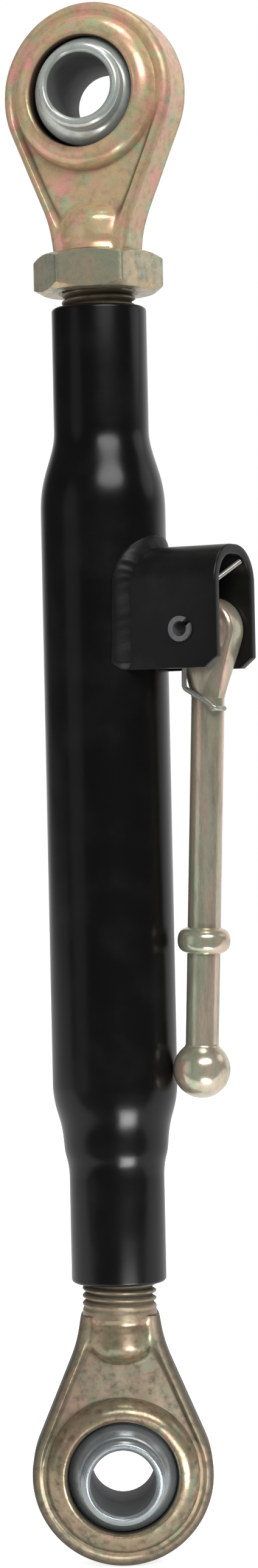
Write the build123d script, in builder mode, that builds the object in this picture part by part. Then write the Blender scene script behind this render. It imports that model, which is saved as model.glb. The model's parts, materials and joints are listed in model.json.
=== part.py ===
"""A tractor top link: a turnbuckle with a swaged barrel, two ball-end eyes and a folding handle.

Millimetres, +Z along the link. The origin is the centre of the lower pin bore, whose axis is Y.
The handle's bracket looks out along the bracket direction, a turn about Z away from +X.
"""

import os
from math import asin, cos, floor, pi, radians, sin, sqrt, tan

from build123d import *

os.makedirs("parts", exist_ok=True)

# Swivel balls
pin_bore_radius = 12.85
ball_width = 51.0
ball_radius = 24.0
ball_collar_radius = 17.0
ball_groove_width = 1.2
ball_groove_depth = 0.7
ball_edge_chamfer = 1.3

# Ball-end eyes: a drop-shaped blade, a round boss for the ball and a neck that runs out in a nose,
# with the threaded shank butt-welded to the neck's shoulder
ball_clearance = 0.3
mouth_radius = 22.0
boss_radius = 29.0
boss_thickness = 30.0
boss_rounding = 2.2
eye_radius = 36.2
eye_thickness = 20.0
eye_rounding = 3.0
rib_width = 4.0
pocket_depth = 2.5
eye_neck_radius = 14.9
neck_half_width = 15.6
neck_fillet = 30.0
flank_end = 54.5
nose_centre = 57.0
shoulder_at = 63.5
shoulder_chamfer = 1.0

# Threads, drawn as ring grooves at the true pitch
thread_radius = 14.85
thread_pitch = 3.0
thread_depth = 1.6
thread_crest = 0.6
thread_runout = 3.5
thread_clearance = 0.3
thread_end_chamfer = 2.0
turns_out = 38
thread_engaged = 51.0

# Barrel
barrel_neck_radius = 19.0
tube_radius = 25.0
tube_wall = 5.0
lower_neck_length = 42.7
lower_taper_length = 36.3
tube_length = 228.6
upper_taper_length = 33.0
upper_neck_length = 49.3
barrel_rim_rounding = 1.2

# Lock nut
nut_flats = 46.0
nut_height = 15.0
nut_chamfer = 2.2
nut_turn = -9.0

# Places along the link and turns about it
lower_thread_showing = 12.8
nut_gap = 6.0
nut_shoulder_gap = 0.6
upper_eye_turn = -24.0
upper_ball_turn = -14.5

# Handle bracket: an inverted U of strap, with its open ends down
bracket_turn = -29.5
strap_width = 34.0
strap_thickness = 4.0
strap_bend_radius = 15.0
strap_above_pin = 33.2
strap_below_pin = 15.3
strap_beyond_pin = 15.5
corner_cut_reach = 5.0
corner_cut_height = 4.0
weld_width = 5.0
weld_height = 4.0

# Handle pin, a slotted spring pin
handle_pin_below_taper = 48.3
handle_pin_radius = 5.0
handle_pin_wall = 2.0
handle_pin_slot = 2.4
handle_pin_slot_turn = 40.0
handle_pin_standout = 1.2
pin_hole_fit = 0.02

# Folding handle
head_radius = 13.0
head_thickness = 12.0
head_rounding = 2.0
head_side_gap = 0.4
head_tube_gap = 5.5
head_length = 26.0
head_pin_fit = 0.05
rod_radius = 6.6
rod_lead = 2.0
grip_collar_at = 123.0
grip_collar_radius = 10.5
grip_collar_height = 10.3
grip_collar_chamfer = 1.6
knob_at = 174.3
knob_radius = 11.4
knob_gap = 0.3

# Handle spring
wire_radius = 1.0
coil_pitch = 2.15
coil_clearance = 0.3
spring_gap = 0.3
wire_bend_radius = 2.2
lower_leg_lean = 3.0
lower_leg_length = 23.0
hook_drop = 8.5
hook_length = 7.0
upper_leg_rise = 48.0
upper_leg_length = 13.0
tip_inset = 1.2
tip_across = 6.5

# Worked out from the sizes above
barrel_bottom = shoulder_at + lower_thread_showing
lower_taper_start = barrel_bottom + lower_neck_length
tube_start = lower_taper_start + lower_taper_length
tube_end = tube_start + tube_length
upper_taper_end = tube_end + upper_taper_length
barrel_top = upper_taper_end + upper_neck_length
nut_bottom = barrel_top + nut_gap
pin_distance = nut_bottom + nut_height + nut_shoulder_gap + shoulder_at
handle_pin_height = tube_end - handle_pin_below_taper
handle_pin_reach = tube_radius + head_tube_gap + head_radius
bracket_reach = handle_pin_reach + strap_beyond_pin

thread_bore_radius = thread_radius + thread_clearance
thread_reach = turns_out * thread_pitch + thread_engaged
lower_shank_length = lower_thread_showing + thread_reach
upper_shank_length = nut_shoulder_gap + nut_height + nut_gap + thread_reach

outward = Vector(cos(radians(bracket_turn)), sin(radians(bracket_turn)), 0)
pin_line = Vector(-sin(radians(bracket_turn)), cos(radians(bracket_turn)), 0)
upward = Vector(0, 0, 1)

# Local X across the strap, local Y up, looking out along the bracket
across = Plane(origin=(0, 0, handle_pin_height), x_dir=pin_line, z_dir=outward)
# Local X outwards, local Y up, local Z towards the front cheek
side = Plane(origin=(0, 0, handle_pin_height), x_dir=outward, z_dir=-pin_line)

cheek_inside = strap_width / 2 - strap_thickness
head_offset = cheek_inside - head_side_gap - head_thickness / 2
knob_reach = sqrt((tube_radius + knob_gap + knob_radius) ** 2 - head_offset**2)
handle_lean = asin((handle_pin_reach - knob_reach) / knob_at)
head_centre = outward * handle_pin_reach + pin_line * head_offset + upward * handle_pin_height
handle_plane = Plane(
    origin=head_centre,
    x_dir=outward * cos(handle_lean) - upward * sin(handle_lean),
    z_dir=-pin_line,
)


def swivel_ball():
    """A ball on the Y axis with a collar at each end and a bore for the hitch pin."""
    half = ball_width / 2
    sphere_end = sqrt(ball_radius**2 - ball_collar_radius**2)
    groove_root = ball_collar_radius - ball_groove_depth
    collar_start = sphere_end + ball_groove_width
    chamfer_start = half - ball_edge_chamfer
    end = [
        (ball_collar_radius, sphere_end),
        (groove_root, sphere_end),
        (groove_root, collar_start),
        (ball_collar_radius, collar_start),
        (ball_collar_radius, chamfer_start),
        (ball_collar_radius - ball_edge_chamfer, half),
        (pin_bore_radius + ball_edge_chamfer, half),
        (pin_bore_radius, chamfer_start),
    ]
    mirrored_end = [(x, -y) for x, y in reversed(end)]
    with BuildPart() as ball:
        with BuildSketch(Plane.XY):
            with BuildLine():
                Polyline(*end, *mirrored_end)
                ThreePointArc(mirrored_end[-1], (ball_radius, 0), end[0])
            make_face()
        revolve(axis=Axis.Y)
    return ball.part


def threaded_shank_outline(length):
    """Half outline of a shank that starts at the shoulder: plain run-out, ring grooves, end chamfer."""
    root = thread_radius - thread_depth
    grooved = length - thread_runout - thread_end_chamfer
    points = [(0, shoulder_at), (thread_radius, shoulder_at)]
    for groove in range(int(grooved / thread_pitch)):
        start = shoulder_at + thread_runout + groove * thread_pitch
        points.append((thread_radius, start))
        points.append((root, start + (thread_pitch - thread_crest) / 2))
        points.append((thread_radius, start + thread_pitch - thread_crest))
    end = shoulder_at + length
    points.append((thread_radius, end - thread_end_chamfer))
    points.append((thread_radius - thread_end_chamfer, end))
    points.append((0, end))
    return points


def threaded_shank(length):
    """A threaded bar along +Z that starts at the eye's shoulder."""
    with BuildPart() as shank:
        with BuildSketch(Plane.XZ):
            with BuildLine():
                Polyline(*threaded_shank_outline(length), close=True)
            make_face()
        revolve(axis=Axis.Z)
    return shank.part


def ball_eye():
    """A forged eye with its bore on Y and its neck along +Z."""
    with BuildPart() as eye:
        with BuildSketch(Plane.XZ) as blade:
            Circle(eye_radius)
            with Locations((0, flank_end)):
                Circle(eye_neck_radius)
            make_hull()
            with Locations((0, flank_end)):
                Rectangle(2 * neck_half_width, 2 * eye_radius)
            neck_corners = blade.vertices().group_by(Axis.Y)[-2]
            fillet(neck_corners, radius=neck_fillet)
        extrude(amount=eye_thickness / 2, both=True)
        faces = eye.faces().sort_by(Axis.Y)
        fillet(faces[0].edges() + faces[-1].edges(), radius=eye_rounding)

        for face_side in (1, -1):
            face_plane = Plane((0, face_side * eye_thickness / 2, 0), (face_side, 0, 0), (0, -face_side, 0))
            with BuildSketch(face_plane):
                Circle(eye_radius - rib_width)
                with Locations((0, flank_end)):
                    Circle(eye_neck_radius - rib_width)
                make_hull()
            extrude(amount=pocket_depth, mode=Mode.SUBTRACT)

        with BuildSketch(Plane.XZ):
            Circle(boss_radius)
        extrude(amount=boss_thickness / 2, both=True)

        with BuildSketch(Plane.XZ):
            with BuildLine():
                Polyline(
                    (0, nose_centre - eye_neck_radius),
                    (0, shoulder_at),
                    (eye_neck_radius - shoulder_chamfer, shoulder_at),
                    (eye_neck_radius, shoulder_at - shoulder_chamfer),
                    (eye_neck_radius, nose_centre),
                )
                RadiusArc((eye_neck_radius, nose_centre), (0, nose_centre - eye_neck_radius), eye_neck_radius)
            make_face()
        revolve(axis=Axis.Z)

        split(bisect_by=Plane.XY.offset(shoulder_at), keep=Keep.BOTTOM)

        seat_radius = ball_radius + ball_clearance
        seat_end = sqrt(seat_radius**2 - mouth_radius**2)
        with BuildSketch(Plane.XY):
            with BuildLine():
                Polyline(
                    (mouth_radius, -seat_end),
                    (mouth_radius, -boss_thickness),
                    (0, -boss_thickness),
                    (0, boss_thickness),
                    (mouth_radius, boss_thickness),
                    (mouth_radius, seat_end),
                )
                ThreePointArc((mouth_radius, seat_end), (seat_radius, 0), (mouth_radius, -seat_end))
            make_face()
        revolve(axis=Axis.Y, mode=Mode.SUBTRACT)
        boss_faces = eye.faces().filter_by(Axis.Y).sort_by(Axis.Y)
        fillet(boss_faces[0].edges() + boss_faces[-1].edges(), radius=boss_rounding)
    return eye.part


def hoop_outline(grow):
    """The bracket's outer outline across the strap, grown outwards by a distance; shrunk where negative."""
    half = strap_width / 2 + grow
    top = strap_above_pin + grow
    corners = [(-half, -strap_below_pin), (-half, top), (half, top), (half, -strap_below_pin)]
    FilletPolyline(*corners, radius=strap_bend_radius + grow)
    Line(corners[-1], corners[0])


def export(part, name):
    """Label a piece and write it as its own file."""
    part.label = name
    export_step(part, f"parts/{name}.step")


# Eyes, shanks and balls: the lower set stands on the origin, the upper set hangs head down above it
def upper_plane(turn):
    """The upper pin centre, with local Z down the link and local X turned about it."""
    return Plane((0, 0, pin_distance), (cos(radians(turn)), sin(radians(turn)), 0), (0, 0, -1))


export(ball_eye(), "lower_eye")
export(threaded_shank(lower_shank_length), "lower_shank")
export(swivel_ball(), "lower_ball")
export(ball_eye().moved(upper_plane(upper_eye_turn).location), "upper_eye")
export(threaded_shank(upper_shank_length).moved(upper_plane(upper_eye_turn).location), "upper_shank")
export(swivel_ball().moved(upper_plane(upper_ball_turn).location), "upper_ball")

# Barrel: a tube swaged down to a threaded neck at each end
with BuildPart() as barrel:
    cavity_radius = tube_radius - tube_wall
    middle_radius = (barrel_neck_radius + tube_radius) / 2
    lower_middle = (lower_taper_start + tube_start) / 2
    upper_middle = (tube_end + upper_taper_end) / 2
    with BuildSketch(Plane.XZ):
        with BuildLine():
            Line((barrel_neck_radius, barrel_bottom), (barrel_neck_radius, lower_taper_start))
            TangentArc((barrel_neck_radius, lower_taper_start), (middle_radius, lower_middle), tangent=(0, 1))
            TangentArc((tube_radius, tube_start), (middle_radius, lower_middle), tangent=(0, -1))
            Line((tube_radius, tube_start), (tube_radius, tube_end))
            TangentArc((tube_radius, tube_end), (middle_radius, upper_middle), tangent=(0, 1))
            TangentArc((barrel_neck_radius, upper_taper_end), (middle_radius, upper_middle), tangent=(0, -1))
            Polyline(
                (barrel_neck_radius, upper_taper_end),
                (barrel_neck_radius, barrel_top),
                (thread_bore_radius, barrel_top),
                (thread_bore_radius, upper_taper_end),
                (cavity_radius, tube_end),
                (cavity_radius, tube_start),
                (thread_bore_radius, lower_taper_start),
                (thread_bore_radius, barrel_bottom),
                (barrel_neck_radius, barrel_bottom),
            )
        make_face()
    revolve(axis=Axis.Z)
    rims = barrel.faces().filter_by(Axis.Z).sort_by(Axis.Z)
    rim_edges = rims[0].edges() + rims[-1].edges()
    fillet(rim_edges.filter_by(lambda edge: edge.radius > thread_bore_radius), radius=barrel_rim_rounding)
export(barrel.part, "barrel")

# Lock nut
with BuildPart(Plane.XY.offset(nut_bottom)) as lock_nut:
    Cylinder(nut_flats / sqrt(3), nut_height, align=(Align.CENTER, Align.CENTER, Align.MIN))
    chamfer(lock_nut.edges().filter_by(GeomType.CIRCLE), length=nut_chamfer, length2=nut_chamfer * sqrt(3))
    with BuildSketch(Plane.XY.offset(nut_bottom)):
        RegularPolygon(nut_flats / 2, 6, major_radius=False, rotation=nut_turn)
    extrude(amount=nut_height, mode=Mode.INTERSECT)
    with BuildSketch(Plane.XY.offset(nut_bottom)):
        Circle(thread_bore_radius)
    extrude(amount=nut_height, mode=Mode.SUBTRACT)
export(lock_nut.part, "lock_nut")

# Handle bracket: the strap's U runs out from the barrel and is coped round it
with BuildPart() as handle_bracket:
    with BuildSketch(across):
        with BuildLine():
            hoop_outline(0)
        make_face()
        with BuildLine():
            hoop_outline(-strap_thickness)
        make_face(mode=Mode.SUBTRACT)
    extrude(amount=bracket_reach)
    with BuildSketch(Plane.XY.offset(tube_start)):
        Circle(tube_radius)
    extrude(amount=tube_length, mode=Mode.SUBTRACT)
    with BuildSketch(side):
        with BuildLine():
            Polyline(
                (bracket_reach, -strap_below_pin),
                (bracket_reach, corner_cut_height - strap_below_pin),
                (bracket_reach - corner_cut_reach, -strap_below_pin),
                close=True,
            )
        make_face()
        with Locations((handle_pin_reach, 0)):
            Circle(handle_pin_radius + pin_hole_fit)
    extrude(amount=strap_width, both=True, mode=Mode.SUBTRACT)
export(handle_bracket.part, "handle_bracket")

# Weld bead round the bracket's foot
with BuildPart() as bracket_weld:
    with BuildSketch(across):
        with BuildLine():
            hoop_outline(weld_width)
        make_face()
        with BuildLine():
            hoop_outline(0)
        make_face(mode=Mode.SUBTRACT)
    extrude(amount=tube_radius + weld_height)
    with BuildSketch(Plane.XY.offset(tube_start)):
        Circle(tube_radius + weld_height)
    extrude(amount=tube_length, mode=Mode.INTERSECT)
    with BuildSketch(Plane.XY.offset(tube_start)):
        Circle(tube_radius)
    extrude(amount=tube_length, mode=Mode.SUBTRACT)
export(bracket_weld.part, "bracket_weld")

# Handle pin
with BuildPart() as handle_pin:
    with BuildSketch(side):
        with Locations(Location((handle_pin_reach, 0), handle_pin_slot_turn)):
            Circle(handle_pin_radius)
            Circle(handle_pin_radius - handle_pin_wall, mode=Mode.SUBTRACT)
            slot_align = (Align.MIN, Align.CENTER)
            Rectangle(2 * handle_pin_radius, handle_pin_slot, align=slot_align, mode=Mode.SUBTRACT)
    extrude(amount=strap_width / 2 + handle_pin_standout, both=True)
export(handle_pin.part, "handle_pin")

# Folding handle: flat head on the pin, then a rod with a collar and a knob, leaning in to the barrel
with BuildPart() as handle:
    with BuildSketch(handle_plane):
        Circle(head_radius)
        with Locations((0, -head_length)):
            Circle(rod_radius)
        make_hull()
    extrude(amount=head_thickness / 2, both=True)
    head_faces = handle.faces().sort_by(Axis(head_centre, pin_line))
    fillet(head_faces[0].edges() + head_faces[-1].edges(), radius=head_rounding)

    rod_start = -(head_length - rod_lead)
    collar_top = -(grip_collar_at - grip_collar_height / 2)
    collar_foot = -(grip_collar_at + grip_collar_height / 2)
    knob_top = -(knob_at - sqrt(knob_radius**2 - rod_radius**2))
    with BuildSketch(handle_plane):
        with BuildLine():
            Polyline(
                (0, -knob_at - knob_radius),
                (0, rod_start),
                (rod_radius - rod_lead, rod_start),
                (rod_radius, rod_start - rod_lead),
                (rod_radius, collar_top),
                (grip_collar_radius - grip_collar_chamfer, collar_top),
                (grip_collar_radius, collar_top - grip_collar_chamfer),
                (grip_collar_radius, collar_foot + grip_collar_chamfer),
                (grip_collar_radius - grip_collar_chamfer, collar_foot),
                (rod_radius, collar_foot),
                (rod_radius, knob_top),
            )
            ThreePointArc((rod_radius, knob_top), (knob_radius, -knob_at), (0, -knob_at - knob_radius))
        make_face()
    revolve(axis=Axis(handle_plane.origin, handle_plane.y_dir))
    with BuildSketch(handle_plane):
        Circle(handle_pin_radius + head_pin_fit)
    extrude(amount=head_thickness, both=True, mode=Mode.SUBTRACT)
export(handle.part, "handle")

# Handle spring: one wire whose rear end hooks the rod and whose front end bears under the bracket's top
half_turn = 180
coil_radius = handle_pin_radius + coil_clearance + wire_radius
coil_start_turn = half_turn - lower_leg_lean
coil_end_turn = half_turn / 2 + upper_leg_rise
coil_slope = coil_pitch / (2 * pi * coil_radius)
leg_drift = lower_leg_length * coil_slope
arm_drift = upper_leg_length * coil_slope
leg_forward = rod_radius + spring_gap + wire_radius - head_offset
coil_room = cheek_inside - spring_gap - wire_radius - arm_drift - leg_forward - leg_drift
part_turn = (coil_start_turn - coil_end_turn) / (2 * half_turn)
coil_length = coil_pitch * (floor(coil_room / coil_pitch - part_turn) + part_turn)


def from_pin(reach, rise, forward):
    """A point given from the handle pin's axis: outwards, upwards and towards the front cheek."""
    return side.from_local_coords(Vector(handle_pin_reach + reach, rise, forward))


coil_plane = Plane(
    origin=from_pin(0, 0, leg_forward + leg_drift),
    x_dir=outward * cos(radians(coil_start_turn)) + upward * sin(radians(coil_start_turn)),
    z_dir=-pin_line,
)
coil = Helix(coil_pitch, coil_length, coil_radius, lefthand=True).moved(coil_plane.location)
leg_foot = coil @ 0 - coil % 0 * lower_leg_length
arm_end = coil @ 1 + coil % 1 * upper_leg_length
hook_rise = leg_foot.Z - handle_pin_height - hook_drop
hook_reach = rod_radius + wire_radius + spring_gap + hook_rise * tan(handle_lean)
tip_rise = strap_above_pin - strap_thickness - wire_radius - spring_gap - tip_inset
tip_reach = bracket_reach - handle_pin_reach - wire_radius

with BuildPart() as handle_spring:
    with BuildLine() as wire:
        FilletPolyline(
            from_pin(hook_reach, hook_rise, leg_forward - hook_length),
            from_pin(hook_reach, hook_rise, leg_forward),
            leg_foot,
            coil @ 0,
            radius=wire_bend_radius,
        )
        add(coil)
        FilletPolyline(
            coil @ 1,
            arm_end,
            from_pin(tip_reach, tip_rise, -tip_across),
            radius=wire_bend_radius,
        )
    with BuildSketch(Plane(origin=wire.line @ 0, z_dir=wire.line % 0)):
        Circle(wire_radius)
    sweep(path=wire.line)
export(handle_spring.part, "handle_spring")
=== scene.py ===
"""Looks of a tractor top link: two forged ball ends, a black swaged barrel, a lock nut and a folding handle.

Shapes are worked out in millimetres in the link's own frame, with +Z along the link and the lower pin
bore along Y, and are put into their meshes in metres.
"""

import json
from math import asin, atan2, cos, pi, radians, sin, sqrt, tan

import bmesh
import bpy
import numpy as np
from mathutils import Matrix, Vector


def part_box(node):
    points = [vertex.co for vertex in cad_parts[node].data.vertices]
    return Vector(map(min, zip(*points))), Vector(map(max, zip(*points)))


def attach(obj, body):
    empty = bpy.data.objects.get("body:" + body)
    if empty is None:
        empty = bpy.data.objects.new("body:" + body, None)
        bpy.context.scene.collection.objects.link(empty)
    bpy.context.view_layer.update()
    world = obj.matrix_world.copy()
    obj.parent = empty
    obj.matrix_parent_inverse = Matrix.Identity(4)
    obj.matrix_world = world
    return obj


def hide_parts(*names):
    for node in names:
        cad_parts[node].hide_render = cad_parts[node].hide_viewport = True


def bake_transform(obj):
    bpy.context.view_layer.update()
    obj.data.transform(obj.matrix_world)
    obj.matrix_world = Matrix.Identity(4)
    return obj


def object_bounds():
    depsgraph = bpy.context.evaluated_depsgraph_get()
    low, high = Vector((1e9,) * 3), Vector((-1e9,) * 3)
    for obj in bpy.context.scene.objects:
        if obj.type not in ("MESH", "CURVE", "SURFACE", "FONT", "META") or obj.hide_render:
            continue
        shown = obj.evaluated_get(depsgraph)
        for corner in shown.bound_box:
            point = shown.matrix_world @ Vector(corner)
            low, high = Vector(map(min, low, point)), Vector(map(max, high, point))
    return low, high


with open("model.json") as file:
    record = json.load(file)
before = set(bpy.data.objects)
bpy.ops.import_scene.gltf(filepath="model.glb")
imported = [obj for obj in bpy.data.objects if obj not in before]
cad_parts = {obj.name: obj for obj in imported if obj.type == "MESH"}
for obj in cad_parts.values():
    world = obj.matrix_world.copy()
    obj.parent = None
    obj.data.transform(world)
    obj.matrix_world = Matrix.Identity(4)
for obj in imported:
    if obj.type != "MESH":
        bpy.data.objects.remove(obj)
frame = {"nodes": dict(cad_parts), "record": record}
cad_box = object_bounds()

MM = 0.001
BOX_MARGIN = 0.01
MERGE_WITHIN, DROP_BELOW = 2e-6, 1e-6
TINY = 1e-6

# Places that the frame gives, in millimetres
mounts = {mount["name"]: mount for mount in frame["record"]["mounts"]}
joints = {joint["name"]: joint for joint in frame["record"]["behaviour"]["joints"]}
PIN_DISTANCE = mounts["upper_pin_bore"]["pos_m"][2] / MM
UPPER_BORE_AXIS = np.array(mounts["upper_pin_bore"]["axis"])
HANDLE_PIN = np.array(joints["handle_fold"]["pos_m"]) / MM
FRONT = np.array(joints["handle_fold"]["axis"])
BARREL_BOTTOM, BARREL_TOP = (corner[2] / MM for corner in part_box("barrel"))
NUT_BOTTOM, NUT_TOP = (corner[2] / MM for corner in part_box("lock_nut"))
LOWER_SHANK_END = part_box("lower_shank")[1][2] / MM
UPPER_SHANK_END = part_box("upper_shank")[0][2] / MM
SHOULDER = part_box("lower_eye")[1][2] / MM
EYE_RADIUS = -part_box("lower_eye")[0][2] / MM - BOX_MARGIN
BALL_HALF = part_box("lower_ball")[1][1] / MM
BRACKET_BOTTOM, BRACKET_TOP = (corner[2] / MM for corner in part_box("handle_bracket"))

UP = np.array([0.0, 0.0, 1.0])
OUT = np.array([HANDLE_PIN[0], HANDLE_PIN[1], 0.0]) / np.hypot(HANDLE_PIN[0], HANDLE_PIN[1])
PIN_REACH = float(np.hypot(HANDLE_PIN[0], HANDLE_PIN[1]))
PIN_HEIGHT = HANDLE_PIN[2]

# Eye forging
MOUTH = 22.0
SEAT = 24.3
BOSS_TOP = 15.0
BOSS_ROUND = 2.2
BOSS_SHOULDER = (24.6, 30.8)
BLADE = 10.0
BLADE_ROUND = 3.0
RIB = (2.7, 4.4)
POCKET = 2.5
NECK = 14.7
NECK_FLAT = 15.6
NECK_FILLET = 12.0
FLANK_RISE = 0.3908
NOSE_CENTRE = 51.5
NOSE_REACH = 8.5
NECK_WAIST = 0.5
WAIST_START = 57.0
UPPER_EYE_TURN = radians(-24.0)
BOSS_FOOT = 0.4
BOSS_MARGIN = 0.6
BOSS_FILLET = 0.9
NOSE_FILLET = 1.8
TAKE_OVER = 0.6
POCKET_FAR = 0.22
POCKET_DEEPENS = (2.0, 24.0)
POCKET_ENDS = (47.0, 56.0)
SEAM = 0.8
# Spans and weights of the painted shade and the grime that darken the forging's colour
MOUTH_SHADE = (0.1, 0.8)
EDGE_SHADE = (0.5, 4.5)
FOOT_DARK, GROOVE_DARK, EDGE_DARK = 0.85, 0.35, 0.28
POCKET_GRIME_AND_SHADE, EDGE_GRIME_AND_SHADE = 0.45, 0.8
FORGED_WAVE, FORGED_WAVE_LENGTH, FORGED_WAVE_START = 0.18, 17.0, 3.0
NECK_CROWDING = 0.62
EYE_STEPS, BOSS_STEPS, BLADE_STEPS, WALL_STEPS, SEAT_STEPS = 360, 44, 51, 8, 15

# Ball
BALL_RADIUS = 24.0
COLLAR = 17.0
BORE = mounts["lower_pin_bore"]["dims"]["r_mm"]
GROOVE = 1.2
GROOVE_DEPTH = 0.8
BALL_EDGE = 1.3
GROOVE_LEAN = 0.25
GROOVE_EASE = 0.3
COLLAR_STEP = 0.2
BALL_ROUNDS = (0.1, 0.2, 0.3, 1.2, 1.2, 0.9, 0.9)
BALL_SHARP = radians(38.0)
BALL_STEPS, SPHERE_STEPS = 112, 41
# Painted shade on the ball, with grease in its gap at the eye's mouth: that ring, the bore and the groove are
# darkened
GREASE_AND_SHADE_RING = (9.8, 11.0)
GROOVE_ZONE = (19.6, 18.6)
BORE_SHADE = (0.05, 0.5)
COLLAR_SHADE = (0.3, -0.6)
BORE_DARK, BALL_GROOVE_DARK = 0.8, 0.5

# Threads
THREAD = 14.85
PITCH = 3.0
THREAD_DEPTH = 1.6
RUN_OUT = 3.5
THREAD_END = 2.0
THREAD_START = 1.0
SHANK_ROOT = 1.0
CREST_SHARE, FLANK_SHARE = 0.12, 0.8
STEPS_PER_PITCH, SHANK_STEPS = 9, 56

# Barrel
BARREL_NECK = 19.0
TUBE = 25.0
THREAD_CLEARANCE = 0.3
THREAD_BORE = THREAD + THREAD_CLEARANCE
LOWER_NECK = 42.7
LOWER_TAPER = 36.3
UPPER_NECK = 49.3
UPPER_TAPER = 33.0
RIM_ROUND = 1.5
TUBE_WALL = 5.0
BORE_CHAMFER = 1.0
UPPER_DRAWN = 1.25
SWAGE_BASE = 0.2
SWAGE_PASSES = ((0.45, 0.2, 0.08), (0.52, 0.68, 0.17))
SWAGE_EASE = ((-0.05, 0.08), (1.05, 0.92))
SWAGE_STEPS, STEPPED_STEPS, TUBE_STEPS, BARREL_STEPS = 60, 90, 30, 128

# Lock nut
NUT_FLATS = 46.0
NUT_TURN = radians(21.0)
NUT_CHAMFER_START = 22.6
NUT_CHAMFER = radians(30.0)
NUT_MOUTH = 1.2
NUT_POWER = 70.0
NUT_SHARP = radians(24.0)
NUT_STEPS, NUT_FACE_STEPS = 240, 14

# Bracket strap and its weld
STRAP_HALF = 17.0
STRAP_THICK = 4.0
STRAP_BEND = 15.0
STRAP_PAST_PIN = 15.5
STRAP_REACH = PIN_REACH + STRAP_PAST_PIN
CORNER_CUT = (5.0, 4.0)
STRAP_EDGE = 0.7
STRAP_EDGE_STEPS = 5
STRAP_SEAM_GAP = 0.1
STRAP_SINK = 0.3
STRAP_SHARP = radians(35.0)
HOOP_STEPS, BEND_STEPS = 220, 40
PIN_HOLE = 5.1
DRILL_HALF, DRILL_STEPS = 40.0, 48
WELD = 2.0
WELD_WIDE = 5.2
WELD_LUMP = 0.3
WELD_LUMP_AT = 44.0
WELD_UNDER = 3.4
WELD_STEP = 4.4
WELD_LUMP_SPREAD = 6.0
WELD_RIPPLE = 0.04
WELD_LEAN = 3.0
WELD_SLIDE = 0.55
WELD_END = 3.0
WELD_SINK = 0.6
WELD_CROWN = 2.2
WELD_UNEVEN = (0.14, 0.18)
WELD_DRIFTS = ((0.5, 7.3, 1.0), (0.35, 3.1, 0.4), (0.3, 13.7, 0.0))
WELD_WAVES = ((0.5, 2.0, 0.0), (0.3, 1.17, 1.0), (0.3, 0.43, 0.0))
WELD_SHARP = radians(75.0)
WELD_STEPS, WELD_ACROSS = 420, 22

# Handle
HEAD = 13.0
HEAD_HALF = 6.0
HEAD_EDGE = 2.2
HEAD_LENGTH = 26.0
HEAD_CLEARANCE = 0.4
HEAD_OFFSET = STRAP_HALF - STRAP_THICK - HEAD_CLEARANCE - HEAD_HALF
HEAD_BLEND = 4.0
HEAD_WAVE, HEAD_WAVE_LENGTH = 0.08, 11.0
HEAD_STEPS, HEAD_FACE_STEPS, HEAD_WALL_STEPS = 160, 30, 6
HEAD_HOLE = 5.05
ROD = 6.6
COLLAR_AT = 123.0
GRIP_COLLAR = 10.5
GRIP_COLLAR_HEIGHT = 10.3
KNOB_AT = 174.3
KNOB = 11.4
KNOB_GAP = 0.3
KNOB_NECK = 1.6
KNOB_FILLET = 1.2
KNOB_STEPS, KNOB_HIDDEN_STEPS = 64, 12
COLLAR_ROOT = 1.5
COLLAR_SQUARE = 2.5
COLLAR_FLANK = 0.42
COLLAR_FILLET = 0.9
COLLAR_STEPS = 70
UPPER_RINGS, LOWER_RINGS, NECK_RINGS = 24, 14, 16
ROD_STEPS = 64
HANDLE_SHARP = radians(48.0)

# Spring
WIRE = 1.0
COIL_PITCH = 2.15
COIL = 6.3
COIL_TURNS = 3
WIRE_BEND = 2.2
LOWER_LEG_LEAN = 3.0
LOWER_LEG = 23.0
HOOK_DROP = 8.5
HOOK = 7.0
UPPER_LEG_RISE = 48.0
UPPER_LEG = 13.0
TIP_ACROSS = 6.5
TIP_DROP = 6.5
COIL_STEPS, WIRE_BEND_STEPS = 220, 12


def soft_step(low, high, value):
    """0 below low, 1 above high, the cubic 3t^2 - 2t^3 between. With low above high it falls instead."""
    t = np.clip((value - low) / (high - low), 0.0, 1.0)
    return t * t * (3.0 - 2.0 * t)


def soft_max(a, b, width):
    """The larger of two heights, with a fillet of about that width where they cross."""
    t = np.clip(0.5 + 0.5 * (a - b) / width, 0.0, 1.0)
    return b + (a - b) * t + width * t * (1.0 - t)


def rounded_edge(depth, radius):
    """How far a surface has risen at a depth in from its edge, if that edge is a quarter circle."""
    inside = np.clip(depth, 0.0, radius)
    return np.sqrt(np.maximum(radius**2 - (radius - inside) ** 2, 0.0))


def ripples(x, z, size):
    """Sum of five sine waves at odd angles and lengths, for the slow unevenness of a hand-finished face."""
    turns = np.array([0.3, 1.4, 2.3, 3.5, 4.4])
    lengths = size * np.array([1.0, 0.77, 1.31, 0.58, 0.83])
    shifts = np.array([0.0, 1.9, 4.1, 2.6, 5.2])
    along = x[..., None] * np.cos(turns) + z[..., None] * np.sin(turns)
    return np.sin(2.0 * pi * along / lengths + shifts).mean(axis=-1)


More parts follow.
